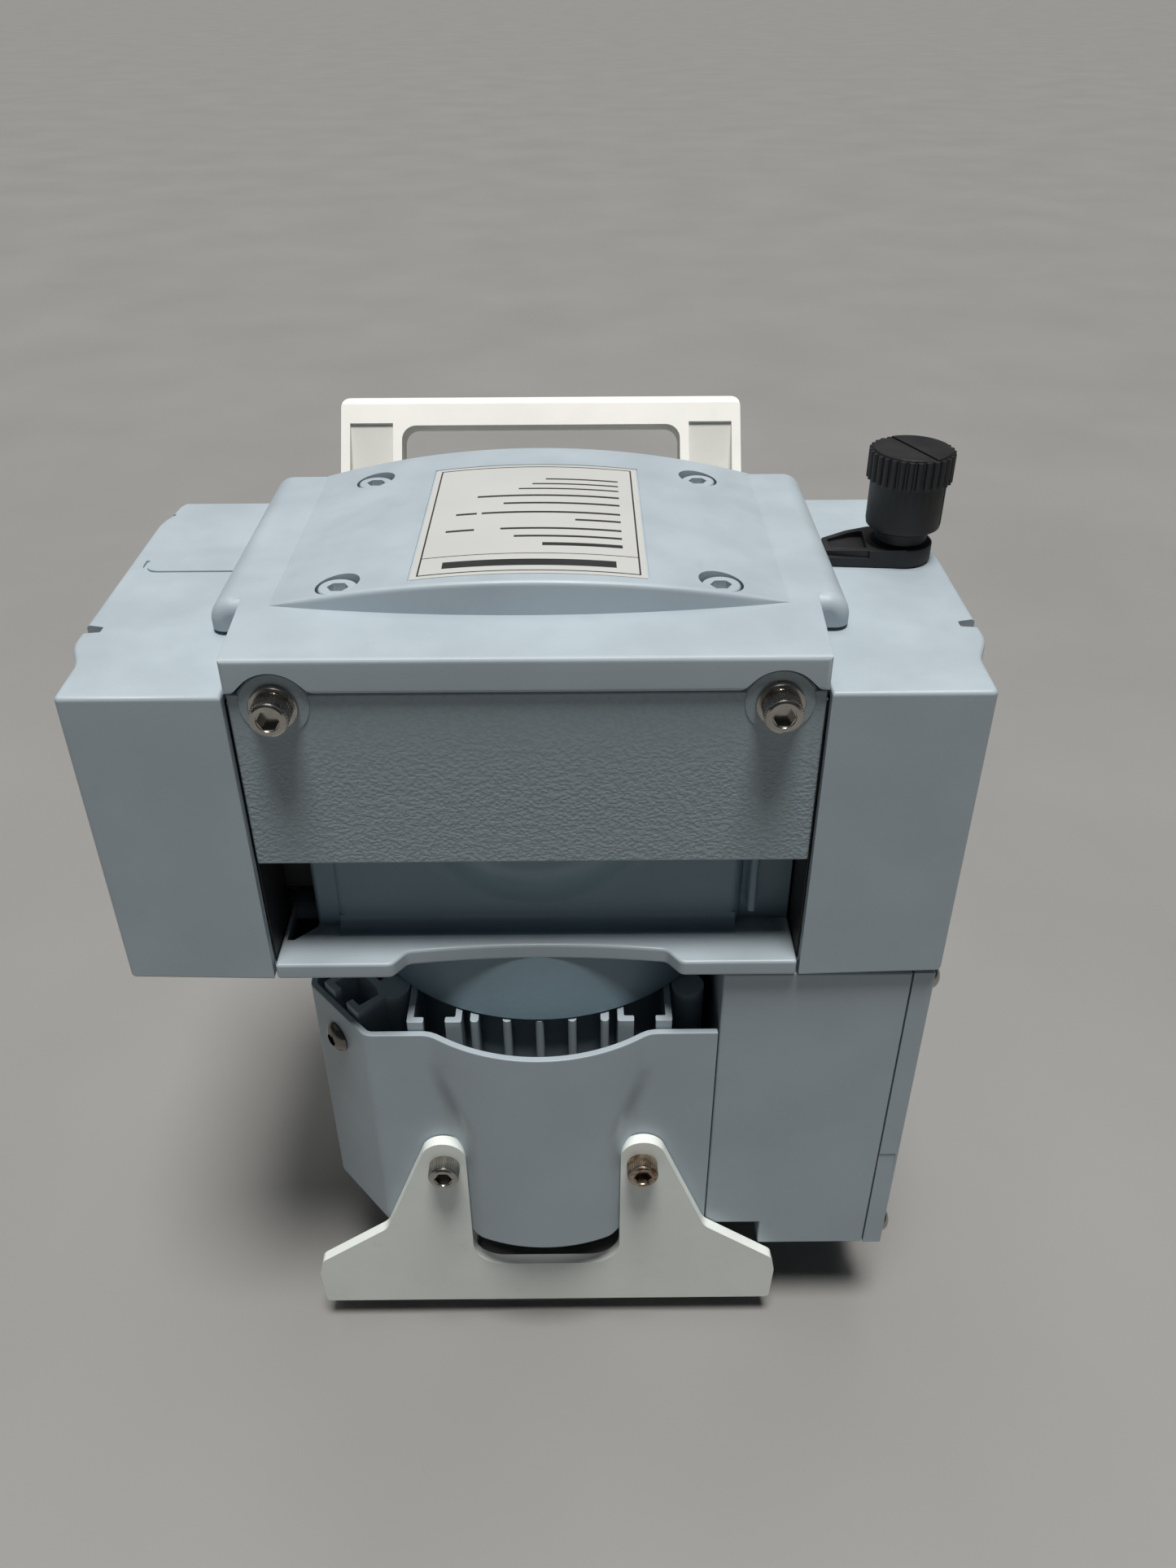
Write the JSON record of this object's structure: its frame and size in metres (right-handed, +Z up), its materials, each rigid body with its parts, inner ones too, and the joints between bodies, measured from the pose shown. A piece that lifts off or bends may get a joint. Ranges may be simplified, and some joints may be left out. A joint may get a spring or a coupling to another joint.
{
  "type": "diaphragm vacuum pump",
  "caption": "Upright laboratory diaphragm vacuum pump with a head on each side, a vertical motor on a low stand, a carrying handle and a gas ballast knob.",
  "frame": {"origin": "centre of the bounding box's base, on the surface that the rubber feet rest on", "axes": "+X to the right as seen from the front, +Y from the front panel to the handle, +Z up along the motor shaft"},
  "size_m": [0.2448, 0.19, 0.2938],
  "materials": {
    "pale_paint": "smooth satin pale blue-grey coat",
    "hammered_paint": "blue-grey coat with a fine hammered texture",
    "dark_paint": "dark blue-grey coat on the castings",
    "aluminium": "plain cast and extruded metal",
    "laminated_steel": "stacked laminations with windings",
    "stainless_steel": "bright socket screws, a little tarnished",
    "stand_paint": "pale grey satin coat on thick plate",
    "off_white_plastic": "fine-grained moulded plastic",
    "black_plastic": "moulded plastic, slightly glossy",
    "rubber": "matt black elastomer",
    "ptfe": "waxy white fluoropolymer",
    "silver_label": "brushed silver plate"
  },
  "bodies": {
    "pump": {"side_cover_left": "pale_paint", "side_cover_right": "pale_paint", "top_cover": "pale_paint", "motor_cover": "pale_paint", "terminal_box": "pale_paint", "terminal_box_lid": "pale_paint", "top_cover_screw_front_left": "pale_paint", "top_cover_screw_front_right": "pale_paint", "top_cover_screw_rear_left": "pale_paint", "top_cover_screw_rear_right": "pale_paint", "front_panel": "hammered_paint", "drive_housing": "dark_paint", "motor_housing": "dark_paint", "end_shield": "aluminium", "run_capacitor": "aluminium", "stator": "laminated_steel", "lower_bearing": "stainless_steel", "upper_bearing": "stainless_steel", "panel_screw_left": "stainless_steel", "panel_screw_right": "stainless_steel", "motor_cover_screw": "stainless_steel", "lid_screw_lower": "stainless_steel", "lid_screw_upper": "stainless_steel", "bracket_screw_front_left": "stainless_steel", "bracket_screw_front_right": "stainless_steel", "bracket_screw_rear_left": "stainless_steel", "bracket_screw_rear_right": "stainless_steel", "handle_screw_left": "stainless_steel", "handle_screw_right": "stainless_steel", "foot_bracket_front": "stand_paint", "foot_bracket_rear": "stand_paint", "handle": "off_white_plastic", "gas_ballast_valve": "black_plastic", "power_inlet": "black_plastic", "fan_cowl": "black_plastic", "head_plate_left": "black_plastic", "head_plate_right": "black_plastic", "head_cover_left": "black_plastic", "head_cover_right": "black_plastic", "rubber_foot_front_left": "rubber", "rubber_foot_front_right": "rubber", "rubber_foot_rear_left": "rubber", "rubber_foot_rear_right": "rubber", "diaphragm_left": "rubber", "diaphragm_right": "rubber", "inlet_nozzle": "ptfe", "outlet_nozzle": "ptfe", "connecting_hose": "ptfe", "label_plate": "silver_label"},
    "crank": {"motor_shaft": "stainless_steel", "rotor": "laminated_steel", "cooling_fan": "black_plastic"},
    "rod_left": {"connecting_rod_left": "aluminium"},
    "rod_right": {"connecting_rod_right": "aluminium"},
    "ballast_knob": {"gas_ballast_knob": "black_plastic"},
    "rocker": {"switch_rocker": "black_plastic"},
    "inlet_valve_left_disc": {"inlet_valve_left": "rubber"},
    "outlet_valve_left_disc": {"outlet_valve_left": "rubber"},
    "inlet_valve_right_disc": {"inlet_valve_right": "rubber"},
    "outlet_valve_right_disc": {"outlet_valve_right": "rubber"}
  },
  "joints": [
    {"name": "motor_spin", "type": "hinge", "parent": "pump", "child": "crank", "pos_m": [0, -0.02045, 0.19], "axis": [0, 0, 1], "continuous": true},
    {"name": "rod_pivot_left", "type": "hinge", "parent": "crank", "child": "rod_left", "pos_m": [0, -0.02295, 0.2024], "axis": [0, 0, 1], "continuous": true, "deforming": ["diaphragm_left"]},
    {"name": "rod_pivot_right", "type": "hinge", "parent": "crank", "child": "rod_right", "pos_m": [0, -0.02295, 0.213], "axis": [0, 0, 1], "continuous": true, "deforming": ["diaphragm_right"]},
    {"name": "ballast_turn", "type": "hinge", "parent": "pump", "child": "ballast_knob", "pos_m": [0.11, -0.00415, 0.28], "axis": [0, 0, 1], "range_deg": [0, 180]},
    {"name": "switch_tip", "type": "hinge", "parent": "pump", "child": "rocker", "pos_m": [0.084, 0.04055, 0.092], "axis": [1, 0, 0], "range_deg": [0, 16]},
    {"name": "inlet_valve_left_lift", "type": "slide", "parent": "pump", "child": "inlet_valve_left_disc", "axis": [1, 0, 0], "range_m": [0, 0.001]},
    {"name": "outlet_valve_left_lift", "type": "slide", "parent": "pump", "child": "outlet_valve_left_disc", "axis": [-1, 0, 0], "range_m": [0, 0.001]},
    {"name": "inlet_valve_right_lift", "type": "slide", "parent": "pump", "child": "inlet_valve_right_disc", "axis": [-1, 0, 0], "range_m": [0, 0.001]},
    {"name": "outlet_valve_right_lift", "type": "slide", "parent": "pump", "child": "outlet_valve_right_disc", "axis": [1, 0, 0], "range_m": [0, 0.001]}
  ],
  "couplings": [
    {"joint": "rod_pivot_left", "follows": "motor_spin", "ratio": -1},
    {"joint": "rod_pivot_right", "follows": "motor_spin", "ratio": -1}
  ]
}
